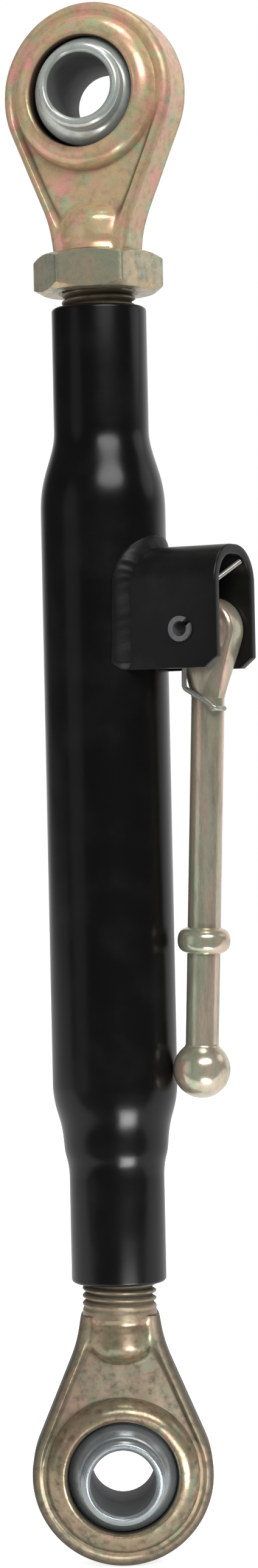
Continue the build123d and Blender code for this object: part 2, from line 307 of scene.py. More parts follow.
def corner_arcs(points, radii, steps=7):
    """A polyline in 2 or 3 dimensions, with each inner corner replaced by an arc tangent to its two runs."""
    points = [np.asarray(point, float) for point in points]
    stretches = [points[0][None]]
    for before, corner, after, radius in zip(points, points[1:], points[2:], radii):
        a = (before - corner) / np.linalg.norm(before - corner)
        b = (after - corner) / np.linalg.norm(after - corner)
        half = np.arccos(np.clip(a @ b, -1.0, 1.0)) / 2.0
        if radius <= 0.0 or abs(half - pi / 2.0) < 1e-3:
            stretches.append(corner[None])
            continue
        middle = (a + b) / np.linalg.norm(a + b)
        centre = corner + middle * radius / sin(half)
        sweep = np.linspace(-1.0, 1.0, steps)[:, None] * (pi / 2.0 - half)
        side = (b - a) / np.linalg.norm(b - a)
        stretches.append(centre + radius * (np.sin(sweep) * side - np.cos(sweep) * middle))
    stretches.append(points[-1][None])
    return np.concatenate(stretches)


def full_turn(count):
    """Evenly spaced angles round a circle."""
    return np.linspace(0.0, 2.0 * pi, count, endpoint=False)


def distance_along(path):
    """Distance walked along a polyline, at each of its points."""
    return np.concatenate([[0.0], np.cumsum(np.linalg.norm(np.diff(path, axis=0), axis=1))])


def turned(profile, count, origin, axis, side):
    """A surface of revolution: each profile point (radius, distance along) is carried round the axis."""
    profile = np.asarray(profile, float)
    axis = np.asarray(axis, float) / np.linalg.norm(axis)
    side = np.asarray(side, float) - axis * (np.asarray(side, float) @ axis)
    side = side / np.linalg.norm(side)
    other = np.cross(axis, side)
    turn = full_turn(count)[:, None, None]
    ring = np.cos(turn) * side + np.sin(turn) * other
    return np.asarray(origin) + profile[None, :, 1:] * axis + profile[None, :, :1] * ring


def tube_along(path, radius, count=14):
    """A round wire: a circle of the given radius carried along the path, square to its direction.

    The circle's own axes come from the direction crossed with one slanting line that the path never follows.
    """
    path = np.asarray(path, float)
    direction = np.gradient(path, axis=0)
    direction = direction / np.linalg.norm(direction, axis=1, keepdims=True)
    slant = FRONT + OUT + 0.35 * UP
    first = np.cross(np.broadcast_to(slant, path.shape), direction)
    first = first / np.linalg.norm(first, axis=1, keepdims=True)
    second = np.cross(direction, first)
    turn = full_turn(count)[None, :, None]
    radius = np.broadcast_to(np.asarray(radius, float), (len(path),))[:, None, None]
    return path[:, None] + radius * (np.cos(turn) * first[:, None] + np.sin(turn) * second[:, None])


def grid_faces(rows, columns, wrap_rows, wrap_columns):
    """Quads that join each point of a grid to the next row and column. A wrapped side joins end to start."""
    row = np.arange(rows if wrap_rows else rows - 1)[:, None]
    column = np.arange(columns if wrap_columns else columns - 1)[None, :]
    next_row = (row + 1) % rows
    next_column = (column + 1) % columns
    corners = (row * columns + column, row * columns + next_column)
    corners += (next_row * columns + next_column, next_row * columns + column)
    shape = (row.size, column.size)
    return np.stack([np.broadcast_to(corner, shape) for corner in corners], -1).reshape(-1, 4)


def piece(name, sheets, material, sharp=radians(42.0), values=None):
    """One object from closed sheets of points in millimetres: (points, wrap rows, wrap columns) each.

    Points that fall together at a pole are merged, faces are turned outwards, and values, one number for each
    point, become the point attribute that the material reads: the share of painted shade, with grime on some
    pieces.
    """
    points, faces, start = [], [], 0
    for sheet, wrap_rows, wrap_columns in sheets:
        rows, columns = sheet.shape[:2]
        points.append(sheet.reshape(-1, 3) * MM)
        faces.append(grid_faces(rows, columns, wrap_rows, wrap_columns) + start)
        start += rows * columns
    mesh = bpy.data.meshes.new(name)
    mesh.from_pydata(np.concatenate(points).tolist(), [], np.concatenate(faces).tolist())
    if values is not None:
        attribute = mesh.attributes.new("hollow", "FLOAT", "POINT")
        attribute.data.foreach_set("value", values.ravel().astype(np.float32))
    return finished(name, mesh, material, sharp)


def finished(name, mesh, material, sharp):
    """An object from a mesh: doubles merged, ends closed, faces outwards, smooth with sharp edges kept."""
    work = bmesh.new()
    work.from_mesh(mesh)
    bmesh.ops.remove_doubles(work, verts=work.verts, dist=MERGE_WITHIN)
    bmesh.ops.dissolve_degenerate(work, edges=work.edges, dist=DROP_BELOW)
    open_edges = [edge for edge in work.edges if edge.is_boundary]
    if open_edges:
        bmesh.ops.holes_fill(work, edges=open_edges, sides=0)
    bmesh.ops.recalc_face_normals(work, faces=work.faces)
    work.to_mesh(mesh)
    work.free()
    mesh.polygons.foreach_set("use_smooth", np.ones(len(mesh.polygons), bool))
    mesh.set_sharp_from_angle(angle=sharp)
    mesh.materials.append(material)
    shape = bpy.data.objects.new(name, mesh)
    bpy.context.scene.collection.objects.link(shape)
    return shape


# Node groups and materials

# The Mix node's own places for a factor and two colours, and for their mix
MIX_INPUTS, MIX_RESULT = (0, 6, 7), 2
DRIFTING = {"detail": 5.0, "roughness": 0.66, "distortion": 0.6}
SECOND_DRIFT_AT = (0.37, 0.11, 0.53)
MOST_DULLED = 0.92
SHADE_AND_GRIME_MATT = 0.4
FILM_RELIEF = 0.0004
PEEL_RELIEF = 0.0003
PAINT_SPECULAR = 0.28
# Near black for the balls' painted shade and grease
SHADE_AND_GREASE_BLACK = (0.004, 0.004, 0.004)


def wire(tree, source, target):
    """Join an output to an input."""
    tree.links.new(source, target)


def feed(tree, value, target):
    """Set an input to a number or a colour, or join an output to it."""
    if isinstance(value, (int, float)):
        target.default_value = value
    elif isinstance(value, tuple):
        target.default_value = (*value, 1.0)
    else:
        wire(tree, value, target)


def maths(tree, operation, first, second=None, third=None):
    """A Math node; each input is a number or an output."""
    node = tree.nodes.new("ShaderNodeMath")
    node.operation = operation
    for place, value in enumerate((first, second, third)):
        if value is not None:
            feed(tree, value, node.inputs[place])
    return node.outputs[0]


def ramp(tree, value, low, high):
    """A smooth rise from 0 at low to 1 at high."""
    node = tree.nodes.new("ShaderNodeMapRange")
    node.interpolation_type = "SMOOTHSTEP"
    wire(tree, value, node.inputs["Value"])
    node.inputs["From Min"].default_value = low
    node.inputs["From Max"].default_value = high
    return node.outputs["Result"]


def mixed(tree, factor, first, second, blend="MIX"):
    """A colour mix; each colour is an output or a tuple."""
    node = tree.nodes.new("ShaderNodeMix")
    node.data_type = "RGBA"
    node.blend_type = blend
    for place, value in zip(MIX_INPUTS, (factor, first, second)):
        feed(tree, value, node.inputs[place])
    return node.outputs[MIX_RESULT]


def noise(tree, vector, scale, detail=3.0, roughness=0.5, distortion=0.0):
    """A Noise Texture's value; scale is a number or an output."""
    node = tree.nodes.new("ShaderNodeTexNoise")
    wire(tree, vector, node.inputs["Vector"])
    feed(tree, scale, node.inputs["Scale"])
    node.inputs["Detail"].default_value = detail
    node.inputs["Roughness"].default_value = roughness
    node.inputs["Distortion"].default_value = distortion
    return node.outputs["Fac"]


def new_group(name, colors, numbers):
    """A shader node group with its input and output nodes.

    It takes Vector, colours and numbers, and puts out Color, Roughness and Height.
    """
    group = bpy.data.node_groups.new(name, "ShaderNodeTree")
    sockets = [("INPUT", "Vector", "Vector")]
    sockets += [("INPUT", color, "Color") for color in colors]
    sockets += [("INPUT", number, "Float") for number in numbers]
    sockets += [("OUTPUT", "Color", "Color"), ("OUTPUT", "Roughness", "Float"), ("OUTPUT", "Height", "Float")]
    for in_out, socket, kind in sockets:
        group.interface.new_socket(socket, in_out=in_out, socket_type=f"NodeSocket{kind}")
    return group, group.nodes.new("NodeGroupInput"), group.nodes.new("NodeGroupOutput")


def passivate_group():
    """Chromate film on zinc: broad drifts between three tints, small dull mottling and a fine grain."""
    group, start, end = new_group(
        "chromate_film",
        colors=("Main", "Warm", "Cool", "Dull"),
        numbers=("Drift", "Mottle", "Roughness", "Uneven", "Dulling"),
    )
    vector = start.outputs["Vector"]
    broad = noise(group, vector, start.outputs["Drift"], **DRIFTING)
    other_vector = group.nodes.new("ShaderNodeVectorMath")
    other_vector.operation = "ADD"
    wire(group, vector, other_vector.inputs[0])
    other_vector.inputs[1].default_value = SECOND_DRIFT_AT
    second = noise(group, other_vector.outputs[0], start.outputs["Drift"], **DRIFTING)
    mottle = noise(group, vector, start.outputs["Mottle"], detail=4.0, roughness=0.62)
    grain = noise(group, vector, 2600.0, detail=2.0, roughness=0.6)
    tint = mixed(group, ramp(group, broad, 0.42, 0.68), start.outputs["Main"], start.outputs["Warm"])
    tint = mixed(group, ramp(group, second, 0.46, 0.72), tint, start.outputs["Cool"])
    dulled = maths(group, "MULTIPLY", ramp(group, mottle, 0.4, 0.82), start.outputs["Dulling"])
    dulled = maths(group, "MINIMUM", dulled, MOST_DULLED)
    tint = mixed(group, dulled, tint, start.outputs["Dull"])
    lift = maths(group, "MULTIPLY_ADD", ramp(group, grain, 0.3, 0.7), 0.16, 0.92)
    tint = mixed(group, 1.0, tint, lift, "MULTIPLY")
    wire(group, tint, end.inputs["Color"])
    uneven = maths(group, "MULTIPLY", maths(group, "SUBTRACT", mottle, 0.5), start.outputs["Uneven"])
    wire(group, maths(group, "ADD", start.outputs["Roughness"], uneven), end.inputs["Roughness"])
    wire(group, maths(group, "MULTIPLY_ADD", grain, 0.35, mottle), end.inputs["Height"])
    return group


def paint_group():
    """Sprayed paint: faint cloudiness in tone, orange peel and a few dust nibs."""
    group, start, end = new_group("sprayed_paint", colors=("Tone", "Dust"), numbers=("Roughness",))
    vector = start.outputs["Vector"]
    cloud = noise(group, vector, 60.0, detail=3.0, roughness=0.55)
    peel = noise(group, vector, 900.0, detail=2.0)
    nibs = noise(group, vector, 2200.0, detail=1.0)
    tone = mixed(group, ramp(group, cloud, 0.42, 0.75), start.outputs["Tone"], start.outputs["Dust"])
    wire(group, tone, end.inputs["Color"])
    uneven = maths(group, "MULTIPLY_ADD", cloud, 0.16, -0.08)
    wire(group, maths(group, "ADD", start.outputs["Roughness"], uneven), end.inputs["Roughness"])
    nib_height = maths(group, "MULTIPLY", ramp(group, nibs, 0.7, 0.8), 1.2)
    wire(group, maths(group, "ADD", peel, nib_height), end.inputs["Height"])
    return group


def material_base(name):
    """A material with a Principled shader and Object coordinates: (material, tree, shader, coordinates)."""
    material = bpy.data.materials.new(name)
    material.use_nodes = True
    tree = material.node_tree
    shader = tree.nodes["Principled BSDF"]
    coordinates = tree.nodes.new("ShaderNodeTexCoord").outputs["Object"]
    return material, tree, shader, coordinates


def bumped(tree, shader, height, strength, distance):
    """Feed a height to the shader's normal."""
    bump = tree.nodes.new("ShaderNodeBump")
    bump.inputs["Strength"].default_value = strength
    bump.inputs["Distance"].default_value = distance
    wire(tree, height, bump.inputs["Height"])
    wire(tree, bump.outputs["Normal"], shader.inputs["Normal"])


def placed_group(tree, group, coordinates, **values):
    """A group node with its values set."""
    node = tree.nodes.new("ShaderNodeGroup")
    node.node_tree = group
    wire(tree, coordinates, node.inputs["Vector"])
    for name, value in values.items():
        feed(tree, value, node.inputs[name])
    return node


CHROMATE = passivate_group()
PAINT = paint_group()


def zinc(
    name, tints, roughness, metal,
    drift=45.0, mottle=260.0, bump=0.12, uneven=0.3, dulling=0.75, hollow=None, grain=None,
):
    """Plated steel in four tints: main, warm, cool and dull.

    A dark colour is laid where the piece's point attribute says, matt and not metallic: painted shade in
    recesses, thread valleys and the balls' gap and bore, with grime on the lower eye and grease on the balls.
    Grain stretches the pattern, for a bar that was drawn along Z.
    """
    material, tree, shader, coordinates = material_base(name)
    main, warm, cool, dull = tints
    if grain is not None:
        mapping = tree.nodes.new("ShaderNodeMapping")
        mapping.inputs["Scale"].default_value = grain
        wire(tree, coordinates, mapping.inputs["Vector"])
        coordinates = mapping.outputs["Vector"]
    film = placed_group(tree, CHROMATE, coordinates, Main=main, Warm=warm, Cool=cool, Dull=dull,
                        Drift=drift, Mottle=mottle, Roughness=roughness, Uneven=uneven, Dulling=dulling)
    color = film.outputs["Color"]
    if hollow is not None:
        attribute = tree.nodes.new("ShaderNodeAttribute")
        attribute.attribute_name = "hollow"
        share = attribute.outputs["Fac"]
        # Painted shade, with grime on the lower eye and grease on the balls: the attribute mixes in a dark,
        # matt colour
        color = mixed(tree, share, color, hollow)
        matt = maths(tree, "MULTIPLY_ADD", share, SHADE_AND_GRIME_MATT, film.outputs["Roughness"])
        wire(tree, matt, shader.inputs["Roughness"])
        wire(tree, maths(tree, "MULTIPLY_ADD", share, -metal, metal), shader.inputs["Metallic"])
    else:
        wire(tree, film.outputs["Roughness"], shader.inputs["Roughness"])
        shader.inputs["Metallic"].default_value = metal
    wire(tree, color, shader.inputs["Base Color"])
    bumped(tree, shader, film.outputs["Height"], bump, FILM_RELIEF)
    return material


def paint(name, tone, dust, roughness, bump):
    """Black sprayed paint."""
    material, tree, shader, coordinates = material_base(name)
    coat = placed_group(tree, PAINT, coordinates, Tone=tone, Dust=dust, Roughness=roughness)
    wire(tree, coat.outputs["Color"], shader.inputs["Base Color"])
    wire(tree, coat.outputs["Roughness"], shader.inputs["Roughness"])
    shader.inputs["Specular IOR Level"].default_value = PAINT_SPECULAR
    bumped(tree, shader, coat.outputs["Height"], bump, PEEL_RELIEF)
    return material


# The dark colours given to the zinc materials below are painted shade in recesses and thread valleys, with
# grime on the lower eye and grease on the balls
UPPER_GOLD = zinc(
    "upper_eye_gold",
    ((0.65, 0.48, 0.27), (0.83, 0.39, 0.33), (0.44, 0.57, 0.34), (0.23, 0.15, 0.1)),
    roughness=0.3, metal=0.4, drift=90.0, mottle=300.0, dulling=0.5, hollow=(0.05, 0.03, 0.02),
)
LOWER_OLIVE = zinc(
    "lower_eye_olive",
    ((0.3, 0.245, 0.155), (0.36, 0.235, 0.165), (0.22, 0.245, 0.165), (0.06, 0.049, 0.033)),
    roughness=0.28, metal=0.66, drift=90.0, mottle=330.0, dulling=0.9, hollow=(0.04, 0.034, 0.024),
)
NUT_GREEN = zinc(
    "nut_green_gold",
    ((0.49, 0.45, 0.32), (0.7, 0.47, 0.27), (0.42, 0.46, 0.32), (0.22, 0.22, 0.17)),
    roughness=0.3, metal=0.7, drift=60.0, mottle=260.0,
)
HANDLE_CREAM = zinc(
    "handle_cream",
    ((0.56, 0.54, 0.41), (0.72, 0.5, 0.4), (0.44, 0.54, 0.36), (0.18, 0.17, 0.12)),
    roughness=0.21, metal=0.66, drift=75.0, mottle=300.0, dulling=0.6, grain=(1.0, 1.0, 0.16),
)
THREAD_BROWN = zinc(
    "thread_brown",
    ((0.28, 0.23, 0.155), (0.31, 0.22, 0.155), (0.23, 0.22, 0.15), (0.11, 0.09, 0.055)),
    roughness=0.36, metal=0.6, drift=90.0, hollow=(0.03, 0.022, 0.014),
)
UPPER_BALL_PALE = zinc(
    "upper_ball_pale",
    ((0.62, 0.66, 0.61), (0.6, 0.61, 0.56), (0.53, 0.61, 0.6), (0.36, 0.38, 0.36)),
    roughness=0.28, metal=0.55, drift=70.0, mottle=150.0, bump=0.008, uneven=0.1, hollow=SHADE_AND_GREASE_BLACK,
)
LOWER_BALL_BLUE = zinc(
    "lower_ball_blue",
    ((0.33, 0.36, 0.37), (0.33, 0.35, 0.34), (0.28, 0.33, 0.36), (0.19, 0.2, 0.21)),
    roughness=0.26, metal=0.75, drift=70.0, mottle=150.0, bump=0.008, uneven=0.1, hollow=SHADE_AND_GREASE_BLACK,
)
SPRING_BRIGHT = zinc(
    "spring_bright",
    ((0.46, 0.46, 0.42), (0.43, 0.41, 0.36), (0.38, 0.42, 0.38), (0.25, 0.25, 0.22)),
    roughness=0.3, metal=0.6, drift=90.0, mottle=90.0, bump=0.004, uneven=0.1,
)
PIN_GRAY = zinc(
    "pin_gray",
    ((0.17, 0.17, 0.175), (0.18, 0.17, 0.165), (0.16, 0.17, 0.175), (0.08, 0.08, 0.08)),
    roughness=0.4, metal=0.5, drift=90.0,
)
BARREL_BLACK = paint(
    "barrel_black", tone=(0.0033, 0.0033, 0.0036), dust=(0.0055, 0.0055, 0.0055), roughness=0.24, bump=0.03
)
BRACKET_BLACK = paint(
    "bracket_black", tone=(0.006, 0.006, 0.0058), dust=(0.01, 0.01, 0.0095), roughness=0.34, bump=0.08
)
WELD_BLACK = paint(
    "weld_black", tone=(0.005, 0.005, 0.005), dust=(0.008, 0.008, 0.0075), roughness=0.42, bump=0.1
)


# Ball ends


def eye_outline(turn):
    """Distance from the bore's axis to the forging's outline at an angle from the neck's direction.

    Far from the neck it is the eye's circle. Nearer, the straight flank is r / (a sin + b cos), which runs by
    a wide fillet into the neck's side, a line beside the axis. The shoulder, a line across the axis, ends it.
    Gives the outline without the shoulder, and with it.
    """
    flank_run = sqrt(1.0 - FLANK_RISE**2)
    across = np.abs(np.sin(turn))
    along = np.cos(turn)
    flank = EYE_RADIUS / np.maximum(flank_run * across + FLANK_RISE * along, TINY)
    fan = pi / 2.0 - asin(FLANK_RISE)
    hull = np.where(np.abs(turn) < fan, flank, EYE_RADIUS)
    neck = np.minimum(NECK_FLAT / np.maximum(across, TINY), 3.0 * EYE_RADIUS)
    side = np.where(np.abs(turn) < fan, soft_max(neck, hull, NECK_FILLET), hull)
    ahead = 0.2
    top = np.where(along > ahead, SHOULDER / np.maximum(along, ahead), 9.0 * EYE_RADIUS)
    power = -40.0
    return side, (side**power + top**power) ** (1.0 / power)


def eye_height(x, z, depth):
    """Height (half the thickness), painted shade, and grime with painted shade, of the forging, at a depth in
    from its outline.

    The blade has a rounded edge, a rib along it and a pocket inside the rib, shallow round the far side. The
    boss round the ball falls away along a quarter ellipse. The neck is a half-round bar that ends in a blunt
    ellipsoid nose and has, by the shoulder, a waist along a squared sine. The three are joined by fillets.
    Painted shade darkens the colour along the foot of the rib, round the boss, in the mouth's gap, where it
    also stands for grease, and faintly on the outer edge. Grime with painted shade darkens the pocket and the
    outer edge.
    """
    radius = np.hypot(x, z)
    edge = BLADE - BLADE_ROUND + rounded_edge(depth, BLADE_ROUND)
    deepened = POCKET_FAR + (1.0 - POCKET_FAR) * soft_step(*POCKET_DEEPENS, z)
    sunk = deepened * (1.0 - soft_step(*POCKET_ENDS, z))
    pocket = soft_step(RIB[0], RIB[1], depth) * sunk
    blade = edge - POCKET * pocket
    inner = rounded_edge(radius - MOUTH, BOSS_ROUND) - BOSS_ROUND
    along = np.clip((radius - BOSS_SHOULDER[0]) / (BOSS_SHOULDER[1] - BOSS_SHOULDER[0]), 0.0, 1.0)
    drop = BOSS_TOP - BLADE + POCKET + BOSS_FOOT
    boss = BOSS_TOP + inner - drop * (1.0 - np.sqrt(np.maximum(1.0 - along**2, 0.0)))
    below = np.minimum(z - NOSE_CENTRE, 0.0)
    past_nose = np.clip((z - WAIST_START) / (SHOULDER - WAIST_START), 0.0, 1.0)
    bar = NECK - NECK_WAIST * np.sin(pi * past_nose) ** 2
    nose = np.sqrt(np.maximum(bar**2 - x**2 - (NECK * below / NOSE_REACH) ** 2, 0.01))
    body = soft_max(blade, boss, BOSS_FILLET)
    height = soft_max(body, nose, NOSE_FILLET)
    off_nose = 1.0 - soft_step(-TAKE_OVER, TAKE_OVER, nose - body)
    # Painted shade: darker along the rib's foot, round the boss, in the mouth's gap and faintly on the outer
    # edge
    seam = np.exp(-(((depth - RIB[1]) / SEAM) ** 2))
    foot = seam * off_nose * sunk * soft_step(-TAKE_OVER, TAKE_OVER / 2.0, blade - boss)
    groove = np.exp(-(((radius - BOSS_SHOULDER[1]) / SEAM) ** 2)) * off_nose * sunk
    mouth = 1.0 - soft_step(MOUTH + MOUTH_SHADE[0], MOUTH + MOUTH_SHADE[1], radius)
    on_edge = 1.0 - soft_step(*EDGE_SHADE, depth)
    hollow = np.clip(FOOT_DARK * foot + GROOVE_DARK * groove + mouth + EDGE_DARK * on_edge, 0.0, 1.0)
    # Grime with painted shade: darker in the pocket and, more, on the outer edge
    off_boss = soft_step(-TAKE_OVER, TAKE_OVER, blade - boss)
    grime_and_shade = np.maximum(POCKET_GRIME_AND_SHADE * pocket * off_nose * off_boss, EDGE_GRIME_AND_SHADE * on_edge)
    return height, hollow, grime_and_shade


def eye_sheet():
    """The forging as one closed sheet: angle round the bore, and a line from its seat over the front face to
    the outline, across the edge, back over the rear face and round the seat. Angles crowd towards the neck.

    Depth from the outline is the radial distance times the cosine of its slant, r / sqrt(r^2 + r'^2).
    """
    even = np.linspace(-pi, pi, EYE_STEPS, endpoint=False)
    turn = (even - NECK_CROWDING * np.sin(even))[None, :]
    side, outline = eye_outline(turn)
    slant = side / np.hypot(side, np.gradient(side[0], turn[0])[None, :])
    boss_width = BOSS_SHOULDER[1] + BOSS_MARGIN - MOUTH
    inner = np.linspace(0.0, 1.0, BOSS_STEPS)[:, None] * boss_width + MOUTH + 0.0 * turn
    share = np.sin(np.linspace(0.0, 1.0, BLADE_STEPS + 1)[1:, None] * pi / 2.0)
    outer = inner[-1:] + share * (outline - inner[-1:])
    radius = np.concatenate([inner, outer])
    x = radius * np.sin(turn)
    z = radius * np.cos(turn)
    height, hollow, grime_and_shade = eye_height(x, z, (side - radius) * slant)
    clear_of_mouth = soft_step(MOUTH, MOUTH + FORGED_WAVE_START, radius)
    height = height + FORGED_WAVE * ripples(x, z, FORGED_WAVE_LENGTH) * clear_of_mouth
    wall = np.linspace(1.0, -1.0, WALL_STEPS + 2)[1:-1, None] * height[-1:]
    seat_end = sqrt(SEAT**2 - MOUTH**2)
    seat = np.linspace(-1.0, 1.0, SEAT_STEPS)[:, None] * seat_end + 0.0 * turn
    seat_radius = np.sqrt(SEAT**2 - seat**2)
    all_radius = np.concatenate([radius, np.repeat(radius[-1:], WALL_STEPS, 0), radius[::-1], seat_radius])
    all_height = np.concatenate([height, wall, -height[::-1], seat])
    bare = np.zeros((WALL_STEPS, EYE_STEPS))
    # Painted shade: the seat round the ball is dark all over
    dark_seat = np.ones(seat.shape)
    all_painted_shade = np.concatenate([hollow, bare, hollow[::-1], dark_seat])
    all_grime_and_shade = np.concatenate([grime_and_shade, np.repeat(grime_and_shade[-1:], WALL_STEPS, 0), grime_and_shade[::-1], dark_seat])
    sheet = np.stack([all_radius * np.sin(turn), all_height, all_radius * np.cos(turn)], -1)
    return sheet, all_painted_shade, np.maximum(all_painted_shade, all_grime_and_shade)


def upper_place(sheet, turn):
    """A sheet made for the lower end, turned head down about the upper pin: local Z points down the link."""
    x_axis = np.array([cos(turn), sin(turn), 0.0])
    y_axis = np.array([sin(turn), -cos(turn), 0.0])
    return PIN_DISTANCE * UP + sheet[..., :1] * x_axis + sheet[..., 1:2] * y_axis - sheet[..., 2:] * UP


def shank_sheet(length, hand):
    """A threaded bar from the shoulder: the radius dips once a pitch, along a line that climbs as it turns.

    The dip is a flat-topped V. It fades in over the run-out and the bar narrows at its end. The dip also
    comes back as painted shade, darkening the thread's valleys.
    """
    climb = np.linspace(0.0, length - THREAD_END, int(STEPS_PER_PITCH * length / PITCH))
    along = np.concatenate([[-SHANK_ROOT], climb, [length]])[:, None]
    turn = full_turn(SHANK_STEPS)[None, :]
    phase = np.mod(along / PITCH - hand * turn / (2.0 * pi), 1.0)
    valley = (1.0 - np.abs(2.0 * phase - 1.0) - CREST_SHARE) / FLANK_SHARE
    dip = soft_step(0.0, 1.0, valley) * soft_step(THREAD_START, RUN_OUT + PITCH, along)
    radius = THREAD - THREAD_DEPTH * dip
    radius = np.minimum(radius, THREAD - THREAD_END + (length - along))
    ring = np.stack([radius * np.cos(turn), radius * np.sin(turn), SHOULDER + along + 0.0 * turn], -1)
    foot = np.broadcast_to([0.0, 0.0, SHOULDER - SHANK_ROOT], (1, *ring.shape[1:]))
    tip = np.broadcast_to([0.0, 0.0, SHOULDER + length], (1, *ring.shape[1:]))
    sheet = np.concatenate([foot, ring, tip])
    # Painted shade in the thread's valleys
    hollow = np.concatenate([0.0 * turn, dip, 0.0 * turn])
    return sheet, hollow


def ball_outline():
    """Section of the swivel ball: (radius, distance along the bore), a closed loop with rounded edges."""
    sphere_end = sqrt(BALL_RADIUS**2 - COLLAR**2)
    end = [
        (COLLAR, sphere_end),
        (COLLAR - GROOVE_DEPTH, sphere_end + GROOVE_LEAN),
        (COLLAR - GROOVE_DEPTH, sphere_end + GROOVE),
        (COLLAR - COLLAR_STEP, sphere_end + GROOVE + GROOVE_EASE),
        (COLLAR - COLLAR_STEP, BALL_HALF - BALL_EDGE),
        (COLLAR - COLLAR_STEP - BALL_EDGE, BALL_HALF),
        (BORE + BALL_EDGE, BALL_HALF),
        (BORE, BALL_HALF - BALL_EDGE),
        (BORE, 0.0),
    ]
    half = corner_arcs(end, BALL_ROUNDS)
    other = half[::-1][1:] * [1.0, -1.0]
    swing = np.linspace(-1.0, 1.0, SPHERE_STEPS)[1:-1] * asin(sphere_end / BALL_RADIUS)
    sphere = BALL_RADIUS * np.stack([np.cos(swing), np.sin(swing)], -1)
    return np.concatenate([half, other, sphere])


def make_ball_ends():
    """Eyes, shanks and balls at both ends."""
    sheet, hollow, grime_and_shade = eye_sheet()
    lower_eye = piece("lower_eye_forging", [(sheet, True, True)], LOWER_OLIVE, values=grime_and_shade)
    settle(lower_eye, "lower_eye", "lower_eye")
    placed = upper_place(sheet, UPPER_EYE_TURN)
    upper_eye = piece("upper_eye_forging", [(placed, True, True)], UPPER_GOLD, values=hollow)
    settle(upper_eye, "upper_eye", "upper_eye")
    bar, dip = shank_sheet(LOWER_SHANK_END - SHOULDER, -1.0)
    lower_shank = piece("lower_shank_thread", [(bar, False, True)], THREAD_BROWN, values=dip)
    settle(lower_shank, "lower_shank", "lower_eye")
    bar, dip = shank_sheet(PIN_DISTANCE - SHOULDER - UPPER_SHANK_END, 1.0)
    placed = upper_place(bar, UPPER_EYE_TURN)
    upper_shank = piece("upper_shank_thread", [(placed, False, True)], THREAD_BROWN, values=dip)
    settle(upper_shank, "upper_shank", "upper_eye")
    outline = ball_outline()
    off_middle = np.abs(outline[:, 1])
    # Painted shade and grease: dark in the gap at the eye's mouth, inside the bore and in the collar's groove
    grease_and_shade = 1.0 - soft_step(*GREASE_AND_SHADE_RING, off_middle)
    in_bore = BORE_DARK * (1.0 - soft_step(BORE + BORE_SHADE[0], BORE + BORE_SHADE[1], outline[:, 0]))
    under_collar = soft_step(COLLAR + COLLAR_SHADE[0], COLLAR + COLLAR_SHADE[1], outline[:, 0])
    in_groove = BALL_GROOVE_DARK * under_collar * soft_step(*GROOVE_ZONE, off_middle)
    dark = np.clip(np.maximum(np.maximum(grease_and_shade, in_bore), in_groove), 0.0, 1.0)
    dark = np.broadcast_to(dark, (BALL_STEPS, len(dark)))
    ring = turned(outline, BALL_STEPS, np.zeros(3), (0.0, 1.0, 0.0), UP)
    lower_ball = piece("lower_swivel_ball", [(ring, True, True)], LOWER_BALL_BLUE, BALL_SHARP, dark)
    settle(lower_ball, "lower_ball", "lower_ball")
    ring = turned(outline, BALL_STEPS, PIN_DISTANCE * UP, UPPER_BORE_AXIS, UP)
    upper_ball = piece("upper_swivel_ball", [(ring, True, True)], UPPER_BALL_PALE, BALL_SHARP, dark)
    settle(upper_ball, "upper_ball", "upper_ball")


def settle(shape, node, body):
    """Let a piece stand for its node and ride on its body."""
    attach(shape, body)
    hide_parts(node)


# Barrel and lock nut


def swage(rise, start_radius, end_radius, start, end):
    """Outline of a tube whose radius goes from one end's to the other's as rise goes from 0 to 1."""
    share = np.linspace(0.0, 1.0, len(rise))
    return np.stack([start_radius + (end_radius - start_radius) * rise, start + share * (end - start)], -1)


def smooth_rise():
    """Half a cosine wave, of the share along raised to a power: it starts slowly and ends quickly."""
    return 0.5 - 0.5 * np.cos(pi * np.linspace(0.0, 1.0, SWAGE_STEPS) ** UPPER_DRAWN)


def stepped_rise():
    """A rise in two passes: its slope is a low constant and two bell curves, added up along it."""
    share = np.linspace(0.0, 1.0, STEPPED_STEPS)
    bells = (height * np.exp(-(((share - at) / spread) ** 2)) for height, at, spread in SWAGE_PASSES)
    slope = sum(bells, SWAGE_BASE) * soft_step(*SWAGE_EASE[0], share) * soft_step(*SWAGE_EASE[1], share)
    rise = np.cumsum(slope) - slope[0]
    return rise / rise[-1]


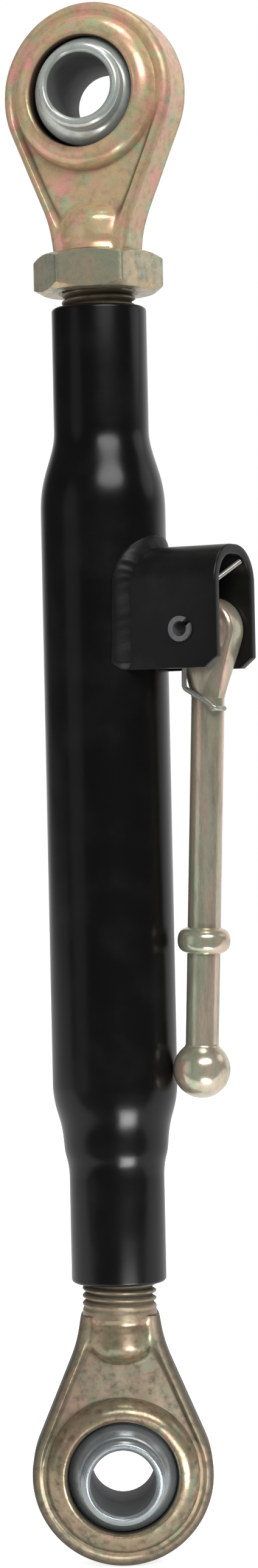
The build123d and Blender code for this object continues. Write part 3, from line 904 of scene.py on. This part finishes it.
def make_barrel():
    """The barrel: one closed outline turned about the link's axis, outside up and inside down."""
    lower_end = BARREL_BOTTOM + LOWER_NECK
    tube_start = lower_end + LOWER_TAPER
    upper_start = BARREL_TOP - UPPER_NECK
    tube_end = upper_start - UPPER_TAPER
    lower_rim = corner_arcs(
        [(THREAD_BORE + BORE_CHAMFER, BARREL_BOTTOM), (BARREL_NECK, BARREL_BOTTOM), (BARREL_NECK, lower_end)],
        (RIM_ROUND,),
    )
    upper_rim = corner_arcs(
        [(BARREL_NECK, upper_start), (BARREL_NECK, BARREL_TOP), (THREAD_BORE + BORE_CHAMFER, BARREL_TOP)],
        (RIM_ROUND,),
    )
    along = np.linspace(tube_start, tube_end, TUBE_STEPS + 2)[1:-1]
    straight = np.stack([np.full(TUBE_STEPS, TUBE), along], -1)
    bore = [
        (THREAD_BORE, BARREL_TOP - BORE_CHAMFER),
        (THREAD_BORE, upper_start),
        (TUBE - TUBE_WALL, tube_end),
        (TUBE - TUBE_WALL, tube_start),
        (THREAD_BORE, lower_end),
        (THREAD_BORE, BARREL_BOTTOM + BORE_CHAMFER),
    ]
    outline = np.concatenate([
        lower_rim[:-1],
        swage(stepped_rise(), BARREL_NECK, TUBE, lower_end, tube_start),
        straight,
        swage(smooth_rise(), TUBE, BARREL_NECK, tube_end, upper_start),
        upper_rim[1:],
        bore,
    ])
    ring = turned(outline, BARREL_STEPS, np.zeros(3), UP, (1.0, 0.0, 0.0))
    barrel = piece("swaged_barrel", [(ring, True, True)], BARREL_BLACK)
    settle(barrel, "barrel", "barrel")


def make_nut():
    """The lock nut: rings of points whose radius follows a hexagon with eased corners.

    A hexagon's radius is the flat distance over the largest of three cosines, eased by a high power sum. Its
    end faces fall away by a cone beyond the chamfer's start, which leaves the curved facet edges.
    """
    turn = full_turn(NUT_STEPS)[None, :]
    facets = NUT_TURN + np.arange(3)[:, None] * pi / 3.0
    spread = (np.abs(np.cos(turn - facets)) ** NUT_POWER).sum(axis=0, keepdims=True) ** (1.0 / NUT_POWER)
    hexagon = NUT_FLATS / 2.0 / spread
    share = np.concatenate([[0.0], np.linspace(0.1, 1.0, NUT_FACE_STEPS)])[:, None]
    face = THREAD_BORE + NUT_MOUTH + share * (hexagon - THREAD_BORE - NUT_MOUTH)
    fall = tan(NUT_CHAMFER) * np.maximum(face - NUT_CHAMFER_START, 0.0)
    middle = (NUT_TOP + NUT_BOTTOM) / 2.0
    half = (NUT_TOP - NUT_BOTTOM) / 2.0
    bore = THREAD_BORE + 0.0 * turn
    radius = np.concatenate([bore, face, face[::-1], bore])
    mouth = half - NUT_MOUTH + 0.0 * turn
    lift = np.concatenate([mouth, half - fall, (fall - half)[::-1], -mouth])
    rings = np.stack([radius * np.cos(turn), radius * np.sin(turn), middle + lift], -1)
    nut = piece("hexagon_lock_nut", [(rings, True, True)], NUT_GREEN, sharp=NUT_SHARP)
    settle(nut, "lock_nut", "lock_nut")


# Handle bracket


def hoop(grow, steps):
    """Points (across, up from the pin) along the strap's outer face from the front foot to the rear foot."""
    half = STRAP_HALF + grow
    top = BRACKET_TOP - PIN_HEIGHT + grow
    foot = BRACKET_BOTTOM - PIN_HEIGHT
    corners = [(-half, foot), (-half, top), (half, top), (half, foot)]
    path = corner_arcs(corners, (STRAP_BEND + grow,) * 2, BEND_STEPS)
    walked = distance_along(path)
    even = np.linspace(0.0, walked[-1], steps)
    return np.stack([np.interp(even, walked, path[:, 0]), np.interp(even, walked, path[:, 1])], -1)


def make_bracket():
    """The strap: a rounded rectangle, as wide as it stands out from the barrel, carried round the hoop.

    At each step the section's inner edge lies on the barrel, so it follows sqrt(R^2 - across^2), and its
    outer edge is cut back near the feet. One drill through both cheeks makes the holes for the pin.
    """
    outside = hoop(0.0, HOOP_STEPS)
    inside = hoop(-STRAP_THICK, HOOP_STEPS)
    reach = STRAP_REACH - TUBE
    edge = corner_arcs(
        [
            (reach / 2.0, 0.0), (reach, 0.0), (reach, STRAP_THICK), (0.0, STRAP_THICK), (0.0, 0.0),
            (reach / 2.0 - STRAP_SEAM_GAP, 0.0),
        ],
        (STRAP_EDGE,) * 2 + (0.0,) * 2,
        STRAP_EDGE_STEPS,
    )
    wide = (edge[:, 0] / reach)[None, :]
    deep = (edge[:, 1] / STRAP_THICK)[None, :]
    across = outside[:, :1] + (inside[:, :1] - outside[:, :1]) * deep
    rise = outside[:, 1:] + (inside[:, 1:] - outside[:, 1:]) * deep
    foot = BRACKET_BOTTOM - PIN_HEIGHT
    start = np.sqrt(TUBE**2 - across**2) - STRAP_SINK
    cut = CORNER_CUT[0] * np.clip(1.0 - (rise - foot) / CORNER_CUT[1], 0.0, 1.0)
    out = start + wide * (STRAP_REACH - cut - start)
    sheet = out[..., None] * OUT - across[..., None] * FRONT + (PIN_HEIGHT + rise)[..., None] * UP
    bracket = piece("bracket_strap", [(sheet, False, True)], BRACKET_BLACK, sharp=STRAP_SHARP)
    drill = [(0.0, -DRILL_HALF), (PIN_HOLE, -DRILL_HALF), (PIN_HOLE, DRILL_HALF), (0.0, DRILL_HALF)]
    bit = turned(drill, DRILL_STEPS, HANDLE_PIN, FRONT, UP)
    cutter = piece("drill", [(bit, True, False)], BRACKET_BLACK)
    drilled(bracket, cutter)
    settle(bracket, "handle_bracket", "barrel")


def drilled(shape, cutter):
    """Cut one object out of another and take the cutter away."""
    cut = shape.modifiers.new("drilled", "BOOLEAN")
    cut.object = cutter
    cut.operation = "DIFFERENCE"
    cut.solver = "EXACT"
    graph = bpy.context.evaluated_depsgraph_get()
    made = bpy.data.meshes.new_from_object(shape.evaluated_get(graph))
    shape.modifiers.clear()
    shape.data = made
    made.set_sharp_from_angle(angle=STRAP_SHARP)
    bpy.data.objects.remove(cutter)


def make_weld():
    """The bead: a low convex strip on the barrel along the strap's edge, with slanted ripples.

    It is worked out on the barrel unrolled flat, where a point is (arc length, height). Rows follow the
    strap's edge and columns run square to it, from under the strap outwards, and back underneath. Its height
    is a quarter ellipse across, times a slow drift along, with ripples that lean as they go outwards and that
    swell along a bell curve at the strap's upper corner.
    """
    path = hoop(0.0, WELD_STEPS)
    flat = np.stack([TUBE * np.arcsin(path[:, 0] / TUBE), path[:, 1]], -1)
    along = np.gradient(flat, axis=0)
    walked = distance_along(flat)
    outwards = np.stack([-along[:, 1], along[:, 0]], -1) / np.linalg.norm(along, axis=1, keepdims=True)
    drift = sum(size * np.sin(walked / length + shift) for size, length, shift in WELD_DRIFTS)
    ends = np.sqrt(np.clip(np.minimum(walked, walked[-1] - walked) / WELD_END, 0.0004, 1.0))
    lumps = WELD_RIPPLE + WELD_LUMP * np.exp(-(((walked - WELD_LUMP_AT) / WELD_LUMP_SPREAD) ** 2))
    share = np.linspace(0.0, 1.0, WELD_ACROSS)[None, :]
    wide = WELD_WIDE * (1.0 + WELD_UNEVEN[0] * drift) * ends
    away = -WELD_UNDER + (wide[:, None] + WELD_UNDER) * share
    slope = np.sqrt(np.maximum(1.0 - share**WELD_CROWN, 0.0))
    lean = (walked[:, None] + WELD_LEAN * share**2) / WELD_STEP + WELD_SLIDE * drift[:, None]
    ripple = sum(size * np.sin(rate * pi * lean + shift) for size, rate, shift in WELD_WAVES)
    swell = (WELD * (1.0 + WELD_UNEVEN[1] * drift) * ends)[:, None]
    top = swell * slope + (lumps * ends)[:, None] * ripple * slope
    away = np.concatenate([away, away[:, ::-1]], 1)
    lift = np.concatenate([top, np.full(top.shape, -WELD_SINK)], 1)
    place = flat[:, None] + away[..., None] * outwards[:, None]
    turn = place[..., :1] / TUBE
    spoke = np.cos(turn) * OUT - np.sin(turn) * FRONT
    sheet = (TUBE + lift)[..., None] * spoke + (PIN_HEIGHT + place[..., 1:]) * UP
    weld = piece("bracket_weld_bead", [(sheet, False, True)], WELD_BLACK, sharp=WELD_SHARP)
    settle(weld, "bracket_weld", "barrel")


# Handle, pin and spring


KNOB_REACH = sqrt((TUBE + KNOB_GAP + KNOB) ** 2 - HEAD_OFFSET**2)
HANDLE_LEAN = asin((PIN_REACH - KNOB_REACH) / KNOB_AT)
HEAD_CENTRE = HANDLE_PIN - HEAD_OFFSET * FRONT
HANDLE_OUT = OUT * cos(HANDLE_LEAN) - UP * sin(HANDLE_LEAN)
HANDLE_DOWN = -OUT * sin(HANDLE_LEAN) - UP * cos(HANDLE_LEAN)


def head_sheet():
    """The handle's flat head as a closed sheet round its pin hole: angle, and a line over both faces.

    The outline is the hull of the head's circle and the rod. The faces have rounded edges, whose radius grows
    towards the rod until the section is round.
    """
    turn = np.linspace(-pi, pi, HEAD_STEPS, endpoint=False)[None, :]
    rise = (HEAD - ROD) / HEAD_LENGTH
    run = sqrt(1.0 - rise**2)
    fan = pi / 2.0 - asin(rise)
    flank = HEAD / np.maximum(run * np.abs(np.sin(turn)) + rise * np.cos(turn), TINY)
    end = HEAD_LENGTH * np.cos(turn) + np.sqrt(np.maximum(ROD**2 - (HEAD_LENGTH * np.sin(turn)) ** 2, 0.0))
    tip = np.abs(turn) < atan2(ROD * run, HEAD_LENGTH + ROD * rise)
    outline = np.where(tip, end, np.where(np.abs(turn) < fan, flank, HEAD))
    share = np.sin(np.linspace(0.0, 1.0, HEAD_FACE_STEPS)[:, None] * pi / 2.0)
    radius = HEAD_HOLE + share * (outline - HEAD_HOLE)
    across = radius * np.sin(turn)
    down = radius * np.cos(turn)
    beside = HEAD - (run * np.abs(across) + rise * down)
    round_end = ROD - np.hypot(across, down - HEAD_LENGTH)
    upper_fan = down * run - np.abs(across) * rise
    depth = np.where(upper_fan > HEAD_LENGTH * run, round_end, beside)
    depth = np.where(upper_fan < 0.0, HEAD - radius, depth)
    to_rod = soft_step(HEAD_BLEND, HEAD_LENGTH, down)
    rounding = HEAD_EDGE + (ROD - HEAD_EDGE) * to_rod
    half = HEAD_HALF + (ROD - HEAD_HALF) * to_rod - rounding + rounded_edge(depth, rounding)
    half = half + HEAD_WAVE * ripples(across, down, HEAD_WAVE_LENGTH) * (1.0 - to_rod)
    wall = np.linspace(1.0, -1.0, HEAD_WALL_STEPS + 2)[1:-1, None] * half[-1:]
    all_radius = np.concatenate([radius, np.repeat(radius[-1:], HEAD_WALL_STEPS, 0), radius[::-1]])
    thick = np.concatenate([half, wall, -half[::-1]])
    across = (all_radius * np.sin(turn))[..., None]
    down = (all_radius * np.cos(turn))[..., None]
    return HEAD_CENTRE + across * HANDLE_OUT + down * HANDLE_DOWN + thick[..., None] * FRONT


def rod_outline():
    """Section of the rod (radius, distance below the pin): it starts inside the head's round end, swells to a
    collar whose section is a squared ellipse, and runs by a fillet into the ball."""
    knob_neck = KNOB_AT - KNOB_NECK * KNOB
    upper = np.linspace(HEAD_LENGTH, COLLAR_AT - GRIP_COLLAR_HEIGHT, UPPER_RINGS)
    collar = COLLAR_AT + GRIP_COLLAR_HEIGHT * np.linspace(-0.99, 0.99, COLLAR_STEPS)
    lower = np.linspace(COLLAR_AT + GRIP_COLLAR_HEIGHT, knob_neck, LOWER_RINGS)
    swing = np.linspace(0.0, pi, KNOB_STEPS)[KNOB_HIDDEN_STEPS:]
    ball = KNOB_AT - KNOB * np.cos(swing)
    neck = np.linspace(knob_neck, ball[0], NECK_RINGS)[1:-1]
    along = np.concatenate([upper, collar, lower, neck])
    off_collar = np.abs((along - COLLAR_AT) / (GRIP_COLLAR_HEIGHT / 2.0))
    squared = np.clip(1.0 - off_collar**COLLAR_SQUARE, 0.0, 1.0)
    swollen = ROD - COLLAR_ROOT + (GRIP_COLLAR - ROD + COLLAR_ROOT) * squared**COLLAR_FLANK
    radius = soft_max(ROD + 0.0 * along, swollen, COLLAR_FILLET)
    sphere = np.sqrt(np.maximum(KNOB**2 - (along - KNOB_AT) ** 2, 0.0))
    radius = soft_max(radius, sphere, KNOB_FILLET)
    ball_radius = KNOB * np.sin(swing)
    ball_radius = np.where(swing < pi / 2.0, soft_max(ball_radius, ROD, KNOB_FILLET), ball_radius)
    start = np.array([[0.0, HEAD_LENGTH]])
    return np.concatenate([start, np.stack([radius, along], -1), np.stack([ball_radius, ball], -1)])


def make_handle():
    """The forged handle: its flat head and its turned rod, which share the head's neck."""
    rod = turned(rod_outline(), ROD_STEPS, HEAD_CENTRE, HANDLE_DOWN, HANDLE_OUT)
    sheets = [(head_sheet(), True, True), (rod, True, False)]
    handle = piece("folding_handle", sheets, HANDLE_CREAM, sharp=HANDLE_SHARP)
    settle(handle, "handle", "handle")


def from_pin(reach, rise, forward):
    """A point given from the handle pin's axis: outwards, upwards and towards the front cheek."""
    return HANDLE_PIN + reach * OUT + rise * UP + forward * FRONT


def make_spring():
    """The torsion spring in two pieces: the coil with the leg that hooks the rod, and the bracket's arm.

    The coil is a helix round the pin. The legs run on along its end directions and their corners are arcs.
    """
    start_turn = radians(180.0 - LOWER_LEG_LEAN)
    end_turn = radians(90.0 + UPPER_LEG_RISE)
    turns = COIL_TURNS + (start_turn - end_turn) / (2.0 * pi)
    slope = COIL_PITCH / (2.0 * pi * COIL)
    forward = ROD + KNOB_GAP + WIRE - HEAD_OFFSET
    first = forward + LOWER_LEG * slope
    share = np.linspace(0.0, 1.0, COIL_STEPS)[:, None]
    angle = start_turn - share * turns * 2.0 * pi
    coil = from_pin(0.0, 0.0, 0.0) + COIL * (np.cos(angle) * OUT + np.sin(angle) * UP)
    coil = coil + (first + share * turns * COIL_PITCH) * FRONT
    lead = np.sin(start_turn) * OUT - np.cos(start_turn) * UP + slope * FRONT
    away = np.sin(end_turn) * OUT - np.cos(end_turn) * UP + slope * FRONT
    foot = coil[0] - lead * LOWER_LEG
    hook_rise = foot[2] - PIN_HEIGHT - HOOK_DROP
    hook_reach = ROD + WIRE + KNOB_GAP + hook_rise * tan(HANDLE_LEAN)
    hook = [from_pin(hook_reach, hook_rise, across) for across in (forward - HOOK, forward)]
    leg = corner_arcs([*hook, foot, coil[0]], (WIRE_BEND,) * 2, WIRE_BEND_STEPS)
    wound = tube_along(np.concatenate([leg[:-1], coil]), WIRE)
    tip_rise = BRACKET_TOP - PIN_HEIGHT - TIP_DROP
    tip_reach = STRAP_REACH - PIN_REACH - WIRE
    arm_end = coil[-1] + away * UPPER_LEG
    arm_tip = from_pin(tip_reach, tip_rise, -TIP_ACROSS)
    arm_line = corner_arcs([coil[-1], arm_end, arm_tip], (WIRE_BEND,), WIRE_BEND_STEPS)
    arm = piece("spring_arm", [(tube_along(arm_line, WIRE), False, True)], SPRING_BRIGHT)
    coil_piece = piece("spring_coil", [(wound, False, True)], SPRING_BRIGHT)
    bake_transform(coil_piece)
    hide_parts("handle_spring")
    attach(arm, "barrel")


# Stage: floor, lights, camera, in metres

FLOOR_HALF = 6.0
FLOOR_FRONT = -0.2
FLOOR_DROP = 0.0005
FLOOR_TONE = (0.85, 0.85, 0.85, 1.0)
FLOOR_ROUGH = 0.9
FLOOR_SEEN, FLOOR_MIRRORED = 0.75, 0.25
WHITE = (1.0, 1.0, 1.0, 1.0)
ROOM_TILT = 0.3
ROOM_TURNS_WHITE = (0.4, 1.0)
ROOM_WHITE, ROOM_DARK, ROOM_FILL = 0.9, 0.07, 0.47
CENTRE = (0.0, 0.0, 0.27)
CAMERA_PLACE = (0.0081, -1.380, 0.2754)
CAMERA_ROLL = radians(1.21)
CAMERA_HEIGHT_ANGLE = radians(25.66)
CAMERA_SENSOR = 24.0

# Softboxes: name, place, point aimed at, width and height, watts
SOFTBOXES = (
    ("key_softbox", (0.645, -2.11, 1.75), (0.0, 0.0, 0.35), (2.2, 0.92), 45.0),
    ("top_softbox", (0.12, -0.12, 1.3), (0.0, 0.0, 0.4), (0.4, 0.4), 2.0),
    ("floor_softbox", (0.105, -0.211, -0.022), (0.0, 0.0, 0.14), (0.16, 0.035), 0.42),
    ("left_fill", (-1.3, -0.7, 0.4), CENTRE, (0.8, 1.2), 0.8),
    ("left_wash", (-1.5, -0.55, 0.45), CENTRE, (0.9, 1.2), 5.5),
    ("right_softbox", (1.2, 0.2, 0.83), (0.0, 0.0, 0.45), (0.7, 0.5), 0.9),
)


def lamp(name, place, aim, size, energy):
    """An oval softbox at a place, aimed at a point."""
    data = bpy.data.lights.new(name, "AREA")
    data.shape = "ELLIPSE"
    data.size, data.size_y = size
    data.energy = energy
    light = bpy.data.objects.new(name, data)
    bpy.context.scene.collection.objects.link(light)
    toward = Vector(aim) - Vector(place)
    light.matrix_world = Matrix.Translation(place) @ toward.to_track_quat("-Z", "Y").to_matrix().to_4x4()
    return light


def ray_kinds(tree):
    """Two masks: the camera's own rays, and rays that a glossy or a clear surface sends on."""
    rays = tree.nodes.new("ShaderNodeLightPath").outputs
    return rays["Is Camera Ray"], maths(tree, "MAXIMUM", rays["Is Glossy Ray"], rays["Is Transmission Ray"])


def make_floor(level):
    """A wide pale floor that looks white to the camera and keeps its shadow, dimmer in reflections.

    It ends just in front of the link, so that the barrel's front doesn't mirror it.
    """
    mesh = bpy.data.meshes.new("floor")
    corners = [(-FLOOR_HALF, FLOOR_FRONT, level), (FLOOR_HALF, FLOOR_FRONT, level)]
    corners += [(FLOOR_HALF, FLOOR_HALF, level), (-FLOOR_HALF, FLOOR_HALF, level)]
    mesh.from_pydata(corners, [], [(0, 1, 2, 3)])
    floor = bpy.data.objects.new("floor", mesh)
    bpy.context.scene.collection.objects.link(floor)
    material = bpy.data.materials.new("pale_floor")
    material.use_nodes = True
    tree = material.node_tree
    shader = tree.nodes["Principled BSDF"]
    shader.inputs["Base Color"].default_value = FLOOR_TONE
    shader.inputs["Roughness"].default_value = FLOOR_ROUGH
    shader.inputs["Emission Color"].default_value = WHITE
    direct, bounced = ray_kinds(tree)
    mirrored = maths(tree, "MULTIPLY", bounced, FLOOR_MIRRORED)
    seen = maths(tree, "MULTIPLY_ADD", direct, FLOOR_SEEN, mirrored)
    wire(tree, seen, shader.inputs["Emission Strength"])
    mesh.materials.append(material)


def make_world():
    """White for the camera, white behind and dim in front of the object in reflections, and a soft fill."""
    world = bpy.data.worlds.new("studio")
    bpy.context.scene.world = world
    world.use_nodes = True
    tree = world.node_tree
    background = tree.nodes["Background"]
    direction = tree.nodes.new("ShaderNodeTexCoord").outputs["Generated"]
    parts = tree.nodes.new("ShaderNodeSeparateXYZ")
    wire(tree, direction, parts.inputs[0])
    toward = maths(tree, "MULTIPLY_ADD", parts.outputs["X"], ROOM_TILT, parts.outputs["Y"])
    behind = ramp(tree, toward, *ROOM_TURNS_WHITE)
    reflected = maths(tree, "MULTIPLY_ADD", behind, ROOM_WHITE, ROOM_DARK)
    direct, bounced = ray_kinds(tree)
    mirrored = maths(tree, "MULTIPLY", bounced, reflected)
    lighting = maths(tree, "SUBTRACT", 1.0, bounced)
    level = maths(tree, "MULTIPLY_ADD", lighting, ROOM_FILL, mirrored)
    level = maths(tree, "MAXIMUM", level, direct)
    wire(tree, level, background.inputs["Strength"])
    background.inputs["Color"].default_value = WHITE


def make_camera():
    """The photograph's view: level, from the front, with the link leaning a little to the left."""
    data = bpy.data.cameras.new("camera")
    data.sensor_width = CAMERA_SENSOR
    data.lens = data.sensor_width / 2.0 / tan(CAMERA_HEIGHT_ANGLE / 2.0)
    camera = bpy.data.objects.new("camera", data)
    bpy.context.scene.collection.objects.link(camera)
    level = Matrix.Rotation(pi / 2.0, 4, "X")
    camera.matrix_world = Matrix.Translation(CAMERA_PLACE) @ level @ Matrix.Rotation(-CAMERA_ROLL, 4, "Z")
    bpy.context.scene.camera = camera


make_ball_ends()
make_barrel()
make_nut()
make_bracket()
make_weld()
make_handle()
make_spring()
frame["nodes"]["handle_pin"].data.materials.clear()
frame["nodes"]["handle_pin"].data.materials.append(PIN_GRAY)

make_floor(cad_box[0][2] - FLOOR_DROP)
make_world()
lights = {softbox[0]: lamp(*softbox) for softbox in SOFTBOXES}
# The wash evens out the faces that look left, and the gloss doesn't mirror it
lights["left_wash"].visible_glossy = False
make_camera()
bpy.context.scene.view_settings.view_transform = "Standard"
